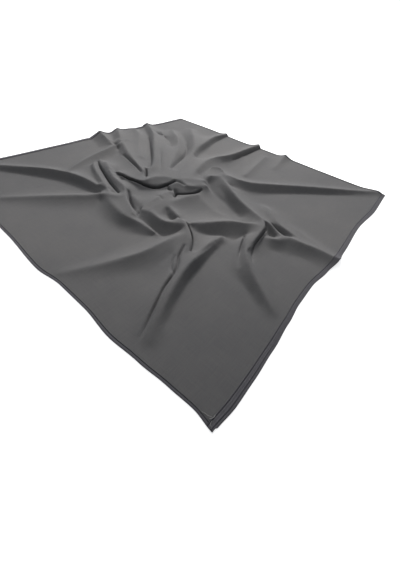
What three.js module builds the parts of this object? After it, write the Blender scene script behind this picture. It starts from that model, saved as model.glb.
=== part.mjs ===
// Square headscarf of one fine cloth with four turned hems. It lies on a flat surface, gathered by
// hand near its middle. Millimetres, +Z up, with the nearest corner towards -Y. The origin is on the
// surface, under the middle of the laid square.
import * as THREE from "three";

// Driving dimensions
const LAID_SIDE = 870;       // side of the square as it lies, hems included
const WIDE_HEM = 12;         // on the front right and back left sides
const NARROW_HEM = 6;        // on the other two, ending at the wide hems
const PANEL_WALL = 1.2;
const HEM_WALL = 2;          // three layers of the cloth
const HEM_ROUND = 0.6;       // rounding of the hem's folded edge
const SEAM_GAP = 0.3;

// Cells of the panel, finer in the middle where the folds are
const CELLS = 52;
const MIDDLE_CELL = 0.75;    // size of a middle cell over the mean cell

// How the cloth settles between the folds
const GRID_STEP = 3;         // spacing of the points that settle
const SAG = 0.012;           // bend of the hanging cloth, 1/mm
const PASSES = 500;
const OVERSTEP = 1.93;       // over-relaxation of each pass
const DRAG_REACH = 60;       // how far a leaning fold pulls the cloth beside it
const FOLD_ROUND = 4;        // rounding of the crests
const DRAG_ROUND = 5;        // rounding of the sideways shifts
const LINE_STEP = 1.5;       // spacing of the points along a fold
const LEAN_TAPER = 25;       // length over which a fold's lean starts and ends
const HEADING_SPAN = 4;      // points on each side that give a fold's heading
const FOOT_FROM = 0.08;
const FOOT_TO = 0.92;

// Each row is one fold of the laid cloth, seen from above with the nearest corner at -Y.
// path: points x, y of its crest, or of its bottom where it is a valley
// height: heights at equal spaces along the path
// lean: how far the crest hangs over to the right of its heading
// right, left: distance to the foot on that side, height of the foot, and the shares of the path
// between which there is one
const FOLDS = [
  { name: "left band", path: [[-600, 40], [-430, 25], [-335, 7], [-280, -19], [-247, -42], [-221, -61],
    [-188, -90]], height: [3, 9, 12, 16, 18, 17, 11], lean: 5, right: [17, 0, 0.05, 0.93] },
  { name: "left crease", path: [[-330, 20], [-318, 94], [-312, 130]], height: [1, 0, 0] },
  { name: "left rise", path: [[-430, -118], [-306, -108], [-215, -101]], height: [4, 10, 14], lean: 2,
    right: [42, 0, 0.08, 0.8] },
  { name: "left slope", path: [[-18, -243], [-61, -276], [-108, -310], [-179, -337], [-240, -354]],
    height: [17, 16, 14, 8, 2], lean: 2, left: [30, 0, 0.12, 0.85] },
  { name: "back ridge", path: [[-322, 56], [-280, 118], [-232, 186], [-190, 262]],
    height: [3, 13, 18, 19], lean: 3, right: [26, 4, 0.15, 0.65] },

  { name: "loop", path: [[-250, 96], [-236, 62], [-218, 16], [-201, -24], [-188, -48], [-174, -80]],
    height: [16, 20, 22, 23, 22, 19], lean: 4 },
  { name: "loop far side", path: [[-228, 70], [-214, 28], [-196, -20], [-180, -45], [-162, -70],
    [-150, -100]], height: [21, 24, 25, 25, 24, 20] },
  { name: "loop groove", path: [[-258, 86], [-246, 52], [-228, 8], [-211, -34], [-199, -56], [-184, -86]],
    height: [13, 13, 13, 13, 13, 13] },
  { name: "loop side", path: [[-272, 70], [-258, 16], [-238, -30], [-208, -76]], height: [7, 8, 10, 11] },
  { name: "loop rim", path: [[-253, -93], [-221, -96], [-193, -106], [-169, -116], [-155, -104]],
    height: [6, 13, 18, 20, 20], lean: 3 },
  { name: "loop inside", path: [[-208, 50], [-196, 26], [-186, 2], [-172, -22]],
    height: [16, 13, 12, 10] },
  { name: "lower swag", path: [[-210, -106], [-194, -119], [-174, -154], [-150, -188], [-120, -205],
    [-91, -225], [-76, -242]], height: [14, 19, 22, 22, 19, 13, 7], lean: 5 },
  { name: "swag foot", path: [[-214, -107], [-210, -139], [-198, -175], [-178, -199], [-158, -210],
    [-133, -212]], height: [6, 2, 0, 0, 1, 5] },
  { name: "swag second foot", path: [[-137, -231], [-106, -240], [-79, -238]], height: [0, 0, 0] },
  { name: "inner swag", path: [[-119, -160], [-90, -180], [-64, -211], [-44, -216], [-26, -221]],
    height: [15, 20, 21, 21, 20], lean: 5 },
  { name: "inner foot", path: [[-122, -184], [-89, -214], [-77, -231], [-62, -240], [-46, -236],
    [-30, -228]], height: [8, 5, 1, 0, 3, 8] },

  { name: "roll crest", path: [[-209, 18], [-186, 8], [-160, -14], [-132, -42], [-109, -40], [-88, -24],
    [-55, -20], [-30, -34]], height: [18, 22, 23, 24, 27, 29, 28, 27], lean: 8 },
  { name: "roll front", path: [[-130, -48], [-104, -52], [-80, -46], [-52, -42]],
    height: [19, 20, 21, 22], lean: 6 },
  { name: "roll floor", path: [[-184, -4], [-164, -20], [-148, -36], [-128, -54], [-102, -64],
    [-78, -62], [-54, -58]], height: [15, 14, 13, 12, 11, 11, 12] },
  { name: "knot", path: [[-50, -60], [-32, -44], [-13, -50], [2, -60], [24, -48], [50, -34]],
    height: [17, 24, 27, 25, 22, 19], lean: 6 },
  { name: "knot top", path: [[-30, -24], [-6, -22], [24, -20], [50, -8]], height: [27, 28, 25, 20] },
  { name: "knot lip", path: [[-34, -60], [-17, -66], [4, -64], [20, -55]], height: [18, 19, 19, 18],
    lean: 5 },
  { name: "crescent floor", path: [[-28, -82], [-14, -84], [6, -80], [26, -70]],
    height: [13, 14, 14, 13] },

  { name: "pocket lip", path: [[-157, -74], [-155, -98], [-149, -128], [-136, -160], [-128, -182]],
    height: [20, 20, 20, 19, 18] },
  { name: "pocket", path: [[-150, -74], [-145, -98], [-138, -124], [-126, -155], [-120, -178]],
    height: [14, 11, 10, 9, 10] },
  { name: "second pocket", path: [[-123, -178], [-119, -160], [-114, -146]], height: [6, 8, 12] },
  { name: "facet", path: [[-137, -100], [-128, -120], [-119, -138]], height: [14, 15, 13] },
  { name: "lobe", path: [[-45, -78], [-58, -84], [-82, -120], [-107, -148], [-117, -157]],
    height: [19, 21, 22, 19, 15] },
  { name: "lobe end", path: [[-35, -68], [-32, -82], [-38, -100]], height: [12, 11, 12] },
  { name: "lobe side", path: [[-40, -96], [-58, -118], [-82, -150], [-98, -172]],
    height: [16, 19, 20, 19] },
  { name: "hollow", path: [[-56, -154], [-54, -172], [-46, -194]], height: [9, 5, 9] },
  { name: "hook", path: [[-50, -146], [-38, -176], [-26, -200], [-17, -218], [-12, -241], [-9, -267],
    [-12, -290], [-18, -308]], height: [17, 20, 21, 22, 20, 18, 15, 12], lean: -6 },
  { name: "hook foot", path: [[-8, -200], [-2, -225], [3, -251], [3, -274], [-2, -298]],
    height: [14, 11, 9, 8, 10] },
  { name: "toe foot", path: [[-24, -280], [-32, -300], [-36, -327], [-40, -345], [-48, -364]],
    height: [12, 9, 7, 8, 9] },
  { name: "hook top", path: [[-72, -180], [-65, -160], [-54, -137], [-33, -119], [-7, -95], [22, -78]],
    height: [15, 17, 18, 18, 17, 15] },

  { name: "back fold one", path: [[-300, 340], [-254, 258], [-236, 222]], height: [16, 18, 16], lean: 4,
    right: [38, 0] },
  { name: "back fold two", path: [[-250, 410], [-216, 282], [-216, 252]], height: [10, 18, 16], lean: 4,
    right: [25, 5] },
  { name: "back fold three", path: [[-180, 400], [-155, 320], [-150, 220], [-135, 120]],
    height: [12, 18, 18, 20] },
  { name: "spoke one", path: [[-218, 262], [-200, 222], [-184, 170], [-161, 107], [-140, 56], [-122, 14]],
    height: [18, 20, 22, 25, 27, 27], lean: 3 },
  { name: "spoke one foot", path: [[-226, 236], [-212, 190], [-194, 142], [-172, 92], [-152, 56],
    [-132, 20]], height: [4, 5, 8, 13, 18, 22] },
  { name: "spoke two", path: [[-150, 520], [-110, 350], [-98, 187], [-95, 90], [-97, 31]],
    height: [5, 17, 24, 27, 27], lean: 3 },
  { name: "spoke two foot", path: [[-166, 510], [-124, 350], [-112, 187], [-108, 110], [-108, 50]],
    height: [0, 4, 10, 15, 20] },
  { name: "spoke four", path: [[-84, 420], [-66, 300], [-60, 180], [-62, 80], [-66, 0]],
    height: [6, 14, 22, 25, 27] },
  { name: "valley four", path: [[-92, 380], [-66, 338], [-50, 295], [-46, 237]], height: [3, 3, 5, 9] },
  { name: "spoke five", path: [[-40, 430], [-22, 300], [-22, 200], [-40, 110], [-50, 0]],
    height: [10, 20, 22, 24, 27] },
  { name: "valley five", path: [[-6, 430], [5, 350], [11, 254], [2, 195], [-18, 135], [-33, 87],
    [-47, 40]], height: [1, 2, 3, 6, 12, 18, 23] },
  { name: "spoke seven", path: [[34, 470], [36, 300], [28, 200], [8, 120], [-14, 50], [-24, -10]],
    height: [9, 18, 21, 22, 24, 27] },
  { name: "spoke eight", path: [[195, 448], [120, 366], [80, 296], [50, 240], [26, 176]],
    height: [6, 15, 18, 20, 20], lean: -5 },
  { name: "spoke eight foot", path: [[190, 440], [122, 346], [84, 274], [58, 226], [34, 166]],
    height: [1, 0, 0, 2, 8] },
  { name: "spoke nine", path: [[335, 372], [239, 280], [152, 192], [94, 156], [54, 106], [24, 42],
    [6, -12]], height: [7, 14, 17, 20, 21, 24, 27], lean: -4 },
  { name: "spoke nine foot", path: [[330, 360], [239, 265], [192, 216], [157, 176], [102, 142], [72, 98],
    [46, 50]], height: [1, 2, 4, 8, 10, 13, 16] },
  { name: "back streak", path: [[290, 240], [205, 110], [179, 70]], height: [4, 6, 7] },
  { name: "edge bump", path: [[372, 258], [320, 180], [292, 143]], height: [12, 5, 2] },

  { name: "peak", path: [[78, 88], [100, 60], [103, 28]], height: [20, 24, 24] },
  { name: "diagonal", path: [[64, 22], [88, 15], [97, -5], [113, -78], [129, -129], [159, -189]],
    height: [21, 23, 24, 24, 24, 23], lean: 4 },
  { name: "diagonal foot", path: [[58, 14], [58, -25], [76, -66], [98, -100], [115, -142], [121, -164]],
    height: [8, 3, 2, 2, 3, 5] },
  { name: "facet line", path: [[112, -182], [126, -197], [149, -200]], height: [7, 13, 19] },
  { name: "right ridge", path: [[101, 22], [122, 20], [148, 4], [190, -4], [331, 3], [457, 5], [600, 12]],
    height: [24, 20, 17, 15, 13, 9, 6], lean: 5 },
  { name: "right foot", path: [[118, -14], [140, -22], [200, -26], [331, -17], [457, -14], [580, -6]],
    height: [10, 1, 0, 0, 0, 1] },
  { name: "soft trough", path: [[30, -88], [54, -128], [82, -160]], height: [9, 3, 5] },
  { name: "rise side", path: [[180, -122], [183, -160], [184, -184]], height: [6, 6, 9] },
  { name: "thin rise", path: [[192, -96], [199, -124], [198, -154], [196, -183], [203, -208],
    [227, -238]], height: [3, 11, 14, 14, 13, 11] },
  { name: "streak", path: [[240, -190], [278, -262], [300, -296]], height: [4, 6, 7] },

  { name: "bench", path: [[-14, -213], [30, -204], [81, -197], [112, -202], [146, -208]],
    height: [19, 16, 15, 16, 20], lean: 3 },
  { name: "bench foot", path: [[10, -226], [40, -226], [74, -236], [94, -248], [112, -238], [132, -226]],
    height: [6, 1, 0, 0, 1, 9] },
  { name: "stem", path: [[158, -196], [153, -231], [136, -255], [118, -273], [104, -290], [98, -317],
    [102, -365], [112, -406], [125, -447]], height: [23, 22, 21, 20, 19, 17, 14, 9, 2], lean: -5 },
  { name: "stem right", path: [[173, -199], [172, -216], [160, -238], [144, -261], [131, -280],
    [123, -298], [116, -318]], height: [12, 8, 7, 6, 6, 6, 8] },
  { name: "stem left", path: [[108, -240], [98, -262], [90, -285], [82, -310], [79, -335], [82, -358],
    [90, -388], [104, -431]], height: [3, 2, 2, 1, 0, 0, 0, 0] },
  { name: "fork", path: [[163, -193], [173, -211], [181, -222], [187, -233], [189, -245]],
    height: [22, 18, 15, 13, 12] },
  { name: "fork left", path: [[170, -206], [172, -222], [180, -238]], height: [4, 0, 4] },
  { name: "fork right", path: [[182, -194], [194, -206], [204, -222], [222, -240]],
    height: [9, 3, 0, 4] },
  { name: "hem ridge", path: [[155, -243], [174, -252], [192, -255], [213, -251], [235, -268],
    [262, -284], [304, -318]], height: [9, 14, 16, 16, 15, 14, 13], lean: 4 },
  { name: "hem foot", path: [[166, -276], [190, -288], [224, -300], [258, -330]], height: [0, 0, 0, 0] },
  { name: "long ridge", path: [[72, -246], [31, -280], [8, -311], [-13, -343], [-31, -377], [-55, -432],
    [-70, -468], [-80, -496]], height: [7, 14, 18, 20, 19, 15, 10, 3], lean: -4,
    left: [15, 2, 0.08, 0.9] },
  { name: "long crease", path: [[-50, -372], [-62, -398], [-74, -428], [-82, -448], [-92, -480]],
    height: [9, 6, 5, 4, 2] },
];

// Waves of the outline. Each point is a share of the side's length and the shift outward there.
// The sides follow each other anticlockwise from the nearest corner, and so do their points.
const SIDES = {
  front_right: [[0, 0], [0.05, 4], [0.1, 3], [0.17, 0], [0.24, -5], [0.3, -10], [0.37, -11], [0.44, -4],
    [0.49, 3], [0.54, 0], [0.7, -6], [0.85, 3], [1, 0]],
  back_right: [[0, 0], [0.12, -3], [0.25, -1], [0.35, 2], [0.5, 0], [0.62, -4], [0.8, 4], [1, 0]],
  back_left: [[0, 0], [0.14, -3], [0.28, 5], [0.42, -2], [0.52, 6], [0.64, 0], [0.8, -3], [1, 0]],
  front_left: [[0, 0], [0.2, -6], [0.4, 0], [0.55, 7], [0.62, -1], [0.7, -1], [0.78, 5], [0.85, 1],
    [0.91, -3], [0.96, -5], [1, 0]],
};

const HEM_WIDTHS = {
  front_right: WIDE_HEM,
  back_right: NARROW_HEM,
  back_left: WIDE_HEM,
  front_left: NARROW_HEM,
};

const CLOTH_COLOUR = 0x6b6a6c;
const HEM_COLOUR = 0x565559;
const CLOTH_ROUGHNESS = 0.95;

// Laid positions in the square's own directions: s runs along the front right side and t along the
// front left side, both from the nearest corner.
const HALF_DIAGONAL = LAID_SIDE / Math.SQRT2;
const POINTS = Math.round(LAID_SIDE / GRID_STEP) + 1;
const STEP = LAID_SIDE / (POINTS - 1);

function laidPlace(s, t) {
  return { x: (s - t) / Math.SQRT2, y: (s + t) / Math.SQRT2 - HALF_DIAGONAL };
}

function sidePlace(x, y) {
  const rise = y + HALF_DIAGONAL;
  return { s: (x + rise) / Math.SQRT2, t: (rise - x) / Math.SQRT2 };
}

// Where a point lies that is given by its side, its distance along it and its distance in from it.
const PLACE_ON_SIDE = {
  front_right: (along, inward) => [along, inward],
  back_right: (along, inward) => [LAID_SIDE - inward, along],
  back_left: (along, inward) => [LAID_SIDE - along, LAID_SIDE - inward],
  front_left: (along, inward) => [inward, LAID_SIDE - along],
};

function smooth(share) {
  return share * share * (3 - 2 * share);
}

function smoothCurve(points) {
  return new THREE.CatmullRomCurve3(points, false, "catmullrom", 0.5);
}

// Points along a fold's path with their height, heading and distance from the path's start.
function foldPoints(fold) {
  const path = fold.path.map(([x, y]) => new THREE.Vector3(x, y, 0));
  const curve = smoothCurve(path);
  const points = [];
  for (let span = 0; span < path.length - 1; span += 1) {
    const steps = Math.max(2, Math.floor(path[span].distanceTo(path[span + 1]) / LINE_STEP));
    for (let step = 0; step < steps; step += 1) {
      points.push(curve.getPoint((span + step / steps) / (path.length - 1)));
    }
  }
  points.push(path[path.length - 1]);
  const run = [0];
  for (let i = 1; i < points.length; i += 1) {
    run.push(run[i - 1] + points[i].distanceTo(points[i - 1]));
  }
  const length = run[run.length - 1];
  const heights = smoothCurve(fold.height.map((height) => new THREE.Vector3(0, 0, height)));
  return points.map((point, i) => {
    const before = points[Math.max(i - HEADING_SPAN, 0)];
    const after = points[Math.min(i + HEADING_SPAN, points.length - 1)];
    const heading = after.clone().sub(before).normalize();
    const end = Math.min(run[i], length - run[i]);
    return {
      x: point.x,
      y: point.y,
      z: Math.max(0, heights.getPoint(run[i] / length).z),
      rightX: heading.y,
      rightY: -heading.x,
      share: run[i] / length,
      lean: (fold.lean ?? 0) * smooth(Math.min(end / LEAN_TAPER, 1)),
    };
  });
}

// The crest line of a fold, kept at the place in the cloth that the lean carried away from.
function crestLine(points) {
  return points.map((point) => {
    const shiftX = point.rightX * point.lean;
    const shiftY = point.rightY * point.lean;
    return { x: point.x - shiftX, y: point.y - shiftY, z: point.z, shiftX, shiftY };
  });
}

// The foot line of a fold on its right side (direction 1) or left side (direction -1).
function footLine(points, foot, direction) {
  const [reach, level, from = FOOT_FROM, to = FOOT_TO] = foot;
  return points.filter((point) => point.share > from && point.share < to).map((point) => ({
    x: point.x + direction * reach * point.rightX,
    y: point.y + direction * reach * point.rightY,
    z: Math.min(level, point.z),
    shiftX: 0,
    shiftY: 0,
  }));
}

function foldLines() {
  const lines = [];
  for (const fold of FOLDS) {
    const points = foldPoints(fold);
    lines.push(crestLine(points));
    if (fold.right) lines.push(footLine(points, fold.right, 1));
    if (fold.left) lines.push(footLine(points, fold.left, -1));
  }
  return lines;
}

// Fixes the grid points that lie under the fold lines. A higher line wins over a lower one.
function fixFolds(field) {
  for (const line of foldLines()) {
    const hits = new Map();
    for (const point of line) {
      const { s, t } = sidePlace(point.x, point.y);
      const i = Math.round(s / STEP);
      const j = Math.round(t / STEP);
      if (i < 0 || j < 0 || i >= POINTS || j >= POINTS) continue;
      const index = i * POINTS + j;
      const hit = hits.get(index) ?? { count: 0, z: 0, shiftX: 0, shiftY: 0 };
      hit.count += 1;
      hit.z += point.z;
      hit.shiftX += point.shiftX;
      hit.shiftY += point.shiftY;
      hits.set(index, hit);
    }
    for (const [index, hit] of hits) {
      const height = hit.z / hit.count;
      if (field.fixedHeight[index] && height <= field.z[index]) continue;
      field.fixedHeight[index] = 1;
      field.fixedShift[index] = 1;
      field.z[index] = height;
      field.shiftX[index] = hit.shiftX / hit.count;
      field.shiftY[index] = hit.shiftY / hit.count;
    }
  }
}

// The outward shift of a side at a share of its length.
function sideShift(waves, share) {
  let row = 0;
  while (row < waves.length - 2 && share > waves[row + 1][0]) row += 1;
  const [from, start] = waves[row];
  const [to, end] = waves[row + 1];
  return start + (end - start) * smooth((share - from) / (to - from));
}

// Fixes the sideways shifts of the outline.
function fixOutline(field) {
  for (const [side, waves] of Object.entries(SIDES)) {
    const place = PLACE_ON_SIDE[side];
    const inner = place(0, 1);
    const outer = place(0, 0);
    const outward = laidPlace(outer[0] - inner[0], outer[1] - inner[1]);
    const outwardY = outward.y + HALF_DIAGONAL;
    for (let k = 0; k < POINTS; k += 1) {
      const [s, t] = place(k * STEP, 0);
      const index = Math.round(s / STEP) * POINTS + Math.round(t / STEP);
      const shift = sideShift(waves, k / (POINTS - 1));
      field.shiftX[index] = shift * outward.x;
      field.shiftY[index] = shift * outwardY;
      field.fixedShift[index] = 1;
    }
  }
}

// Lets the free points of one value settle between the fixed ones. Points at the rim have no
// neighbour beyond it, so they follow the last one inside.
function settle(values, fixed, pull, spring, lowest) {
  for (let pass = 0; pass < 2 * PASSES; pass += 1) {
    for (let i = 0; i < POINTS; i += 1) {
      const up = (i === 0 ? 0 : i - 1) * POINTS;
      const down = (i === POINTS - 1 ? i : i + 1) * POINTS;
      for (let j = (i + pass) % 2; j < POINTS; j += 2) {
        const index = i * POINTS + j;
        if (fixed[index]) continue;
        const near = j === 0 ? index : index - 1;
        const far = j === POINTS - 1 ? index : index + 1;
        const sum = values[up + j] + values[down + j] + values[near] + values[far];
        const rest = (sum - pull) / (4 + spring);
        values[index] = Math.max(lowest, values[index] + OVERSTEP * (rest - values[index]));
      }
    }
  }
}

// Rounds a value over the grid with a bell curve of the given width.
function rounded(values, width) {
  const reach = Math.floor((3 * width) / STEP) + 1;
  const weights = [];
  for (let k = -reach; k <= reach; k += 1) weights.push(Math.exp(-0.5 * ((k * STEP) / width) ** 2));
  const total = weights.reduce((sum, weight) => sum + weight, 0);
  const clamp = (k) => Math.min(Math.max(k, 0), POINTS - 1);
  const pass = (source, indexAt) => {
    const result = new Float64Array(source.length);
    for (let i = 0; i < POINTS; i += 1) {
      for (let j = 0; j < POINTS; j += 1) {
        let sum = 0;
        for (let k = -reach; k <= reach; k += 1) sum += weights[k + reach] * source[indexAt(i, j, k)];
        result[i * POINTS + j] = sum / total;
      }
    }
    return result;
  };
  const acrossRows = pass(values, (i, j, k) => clamp(i + k) * POINTS + j);
  return pass(acrossRows, (i, j, k) => i * POINTS + clamp(j + k));
}

function settledCloth() {
  const size = POINTS * POINTS;
  const field = {
    z: new Float64Array(size),
    shiftX: new Float64Array(size),
    shiftY: new Float64Array(size),
    fixedHeight: new Uint8Array(size),
    fixedShift: new Uint8Array(size),
  };
  fixFolds(field);
  fixOutline(field);
  const spring = (STEP / DRAG_REACH) ** 2;
  settle(field.z, field.fixedHeight, SAG * STEP * STEP, 0, 0);
  settle(field.shiftX, field.fixedShift, 0, spring, -Infinity);
  settle(field.shiftY, field.fixedShift, 0, spring, -Infinity);
  return {
    z: rounded(field.z, FOLD_ROUND),
    shiftX: rounded(field.shiftX, DRAG_ROUND),
    shiftY: rounded(field.shiftY, DRAG_ROUND),
  };
}

const cloth = settledCloth();

function clothValue(values, s, t) {
  const u = Math.min(Math.max(s / STEP, 0), POINTS - 1);
  const v = Math.min(Math.max(t / STEP, 0), POINTS - 1);
  const i = Math.min(Math.floor(u), POINTS - 2);
  const j = Math.min(Math.floor(v), POINTS - 2);
  const a = u - i;
  const b = v - j;
  const index = i * POINTS + j;
  const front = values[index] * (1 - b) + values[index + 1] * b;
  const back = values[index + POINTS] * (1 - b) + values[index + POINTS + 1] * b;
  return front * (1 - a) + back * a;
}

function underside(s, t) {
  const { x, y } = laidPlace(s, t);
  return new THREE.Vector3(
    x + clothValue(cloth.shiftX, s, t),
    y + clothValue(cloth.shiftY, s, t),
    clothValue(cloth.z, s, t),
  );
}

// A point at a height over the underside, square to the cloth there.
function clothPoint(s, t, height) {
  const point = underside(s, t);
  if (height === 0) return point;
  const alongS = underside(Math.min(s + STEP, LAID_SIDE), t).sub(underside(Math.max(s - STEP, 0), t));
  const alongT = underside(s, Math.min(t + STEP, LAID_SIDE)).sub(underside(s, Math.max(t - STEP, 0)));
  return point.addScaledVector(alongS.cross(alongT).normalize(), height);
}

function closedGeometry(points, triangles) {
  const geometry = new THREE.BufferGeometry();
  const numbers = points.flatMap((p) => [p.x, p.y, p.z]);
  geometry.setAttribute("position", new THREE.Float32BufferAttribute(numbers, 3));
  geometry.setIndex(triangles);
  geometry.computeVertexNormals();
  return geometry;
}

// Distances from a side at which the panel has its points, between two hems of the given width.
function panelStations(hemWidth) {
  const half = LAID_SIDE / 2 - hemWidth - SEAM_GAP;
  const stations = [];
  for (let k = 0; k <= CELLS; k += 1) {
    const share = (2 * k) / CELLS - 1;
    stations.push(LAID_SIDE / 2 + half * (MIDDLE_CELL * share + (1 - MIDDLE_CELL) * share ** 3));
  }
  return stations;
}

// The square panel: an underside and a top side a wall apart, closed round the rim.
function panelGeometry() {
  const row = CELLS + 1;
  const points = [];
  for (const height of [0, PANEL_WALL]) {
    for (const s of panelStations(NARROW_HEM)) {
      for (const t of panelStations(WIDE_HEM)) points.push(clothPoint(s, t, height));
    }
  }
  const top = row * row;
  const triangles = [];
  for (let i = 0; i < row - 1; i += 1) {
    for (let j = 0; j < row - 1; j += 1) {
      const a = i * row + j;
      const b = a + row;
      const c = b + 1;
      const d = a + 1;
      const acIsShort = points[a].distanceTo(points[c]) < points[b].distanceTo(points[d]);
      const halves = acIsShort ? [[a, b, c], [a, c, d]] : [[a, b, d], [b, c, d]];
      for (const [p, q, r] of halves) triangles.push(top + p, top + q, top + r, p, r, q);
    }
  }
  const rim = [];
  for (let k = 0; k < row - 1; k += 1) rim.push(k * row);
  for (let k = 0; k < row - 1; k += 1) rim.push((row - 1) * row + k);
  for (let k = row - 1; k > 0; k -= 1) rim.push(k * row + row - 1);
  for (let k = row - 1; k > 0; k -= 1) rim.push(k);
  rim.forEach((a, k) => {
    const b = rim[(k + 1) % rim.length];
    triangles.push(a, b, top + b, a, top + b, top + a);
  });
  return closedGeometry(points, triangles);
}

// Distances along a side at which its hem has its sections. A wide hem runs on to both corners.
function hemStations(width) {
  if (width === NARROW_HEM) return panelStations(WIDE_HEM);
  return [0, ...panelStations(NARROW_HEM), LAID_SIDE];
}

// A hem: the rounded section of the turned edge, carried along one side.
function hemGeometry(side, width) {
  const section = [
    [width, 0],
    [HEM_ROUND, 0],
    [0, HEM_WALL / 2],
    [HEM_ROUND, HEM_WALL],
    [width, HEM_WALL],
  ];
  const place = PLACE_ON_SIDE[side];
  const stations = hemStations(width);
  const points = stations.flatMap((along) => section.map(([inward, height]) => {
    const [s, t] = place(along, inward);
    return clothPoint(s, t, height);
  }));
  const count = section.length;
  const triangles = [];
  for (let ring = 0; ring < stations.length - 1; ring += 1) {
    for (let k = 0; k < count; k += 1) {
      const a = ring * count + k;
      const b = ring * count + ((k + 1) % count);
      triangles.push(a, a + count, b + count, a, b + count, b);
    }
  }
  const last = (stations.length - 1) * count;
  for (let k = 1; k < count - 1; k += 1) {
    triangles.push(0, k, k + 1, last, last + k + 1, last + k);
  }
  return closedGeometry(points, triangles);
}

function clothMesh(name, geometry, color) {
  const material = new THREE.MeshStandardMaterial({ color, roughness: CLOTH_ROUGHNESS, metalness: 0 });
  const mesh = new THREE.Mesh(geometry, material);
  mesh.name = name;
  return mesh;
}

const group = new THREE.Group();
group.add(clothMesh("cloth_panel", panelGeometry(), CLOTH_COLOUR));
for (const [side, width] of Object.entries(HEM_WIDTHS)) {
  group.add(clothMesh(`hem_${side}`, hemGeometry(side, width), HEM_COLOUR));
}

export default group;
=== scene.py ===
import math

import bpy
import numpy as np
from mathutils import Matrix, Vector


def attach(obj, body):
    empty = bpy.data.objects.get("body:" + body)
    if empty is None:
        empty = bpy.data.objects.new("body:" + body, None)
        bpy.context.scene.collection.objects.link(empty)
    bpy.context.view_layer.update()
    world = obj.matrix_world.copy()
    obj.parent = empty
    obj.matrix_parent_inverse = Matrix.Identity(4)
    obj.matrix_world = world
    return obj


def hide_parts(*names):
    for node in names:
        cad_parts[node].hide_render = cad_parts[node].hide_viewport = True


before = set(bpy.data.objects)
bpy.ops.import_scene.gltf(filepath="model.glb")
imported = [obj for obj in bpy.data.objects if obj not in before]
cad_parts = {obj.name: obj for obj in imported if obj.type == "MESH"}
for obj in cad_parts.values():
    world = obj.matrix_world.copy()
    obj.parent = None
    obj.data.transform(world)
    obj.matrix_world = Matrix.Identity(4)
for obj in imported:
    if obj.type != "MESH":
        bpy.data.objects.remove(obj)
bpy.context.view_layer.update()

MM = 0.001

# Sizes of the laid scarf in millimetres, as in its solids
LAID_SIDE = 870
WIDE_HEM = 12
NARROW_HEM = 6

# Layers of the real cloth
CLOTH_THICK = 0.45
HEM_THICK = 1.3
LIFT = 0.2                   # the cloth's underside over the solids' underside

# How the cloth settles between the folds
GRID_STEP = 2                # spacing of the points that settle
SAG = 0.012                  # bend of the hanging cloth, 1/mm
PASSES = 220
OVERSTEP = 1.93              # over-relaxation of each pass
DRAG_REACH = 60              # how far a leaning fold pulls the cloth beside it
FOLD_ROUND = 2.2             # rounding of the crests
DRAG_ROUND = 3               # rounding of the sideways shifts
LINE_STEP = 1.5              # spacing of the points along a fold
LEAN_TAPER = 25              # length over which a fold's lean starts and ends
HEADING_SPAN = 4             # points on each side that give a fold's heading
FOOT_FROM = 0.08
FOOT_TO = 0.92
SEEK_PASSES = 6              # steps that find the piece of cloth that lies at a place
CREASE_REACH = 3             # widths from a crease's middle to where it is left out
CREASE_TAPER = 2             # widths over which a crease starts and ends

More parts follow.
